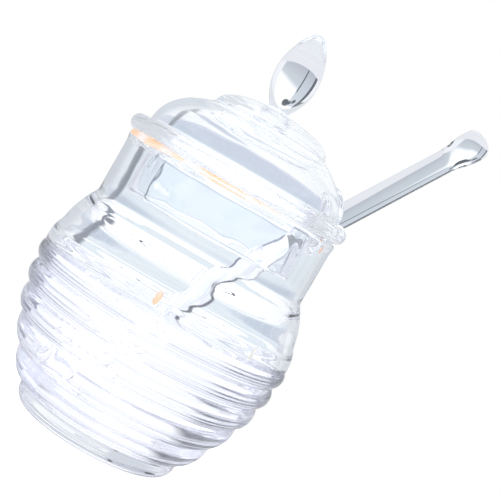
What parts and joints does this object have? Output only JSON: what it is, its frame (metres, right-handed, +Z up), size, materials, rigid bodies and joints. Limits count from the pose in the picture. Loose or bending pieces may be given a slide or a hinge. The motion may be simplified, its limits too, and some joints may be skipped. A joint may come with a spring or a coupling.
{
  "type": "glass honey pot",
  "caption": "Clear ringed glass honey pot with a clear filling, a domed lid with a drop-shaped knob, and a glass dipper that leans out through a hole in the lid.",
  "frame": {"origin": "centre of the pot's flat base, on the surface it stands on", "axes": "+Z up along the pot's axis; the picture looks along +Y with +X to the right; the dipper leans towards +X and 10 degrees towards +Y"},
  "size_m": [0.1123, 0.09, 0.1496],
  "materials": {
    "pot_glass": "clear polished glass",
    "lid_glass": "clear polished glass",
    "dipper_glass": "clear polished glass, solid",
    "clear_filling": "clear colourless syrup, wet surface"
  },
  "bodies": {
    "root": {"pot": "pot_glass", "lid": "lid_glass", "dipper": "dipper_glass", "honey_fill": "clear_filling"}
  },
  "joints": []
}
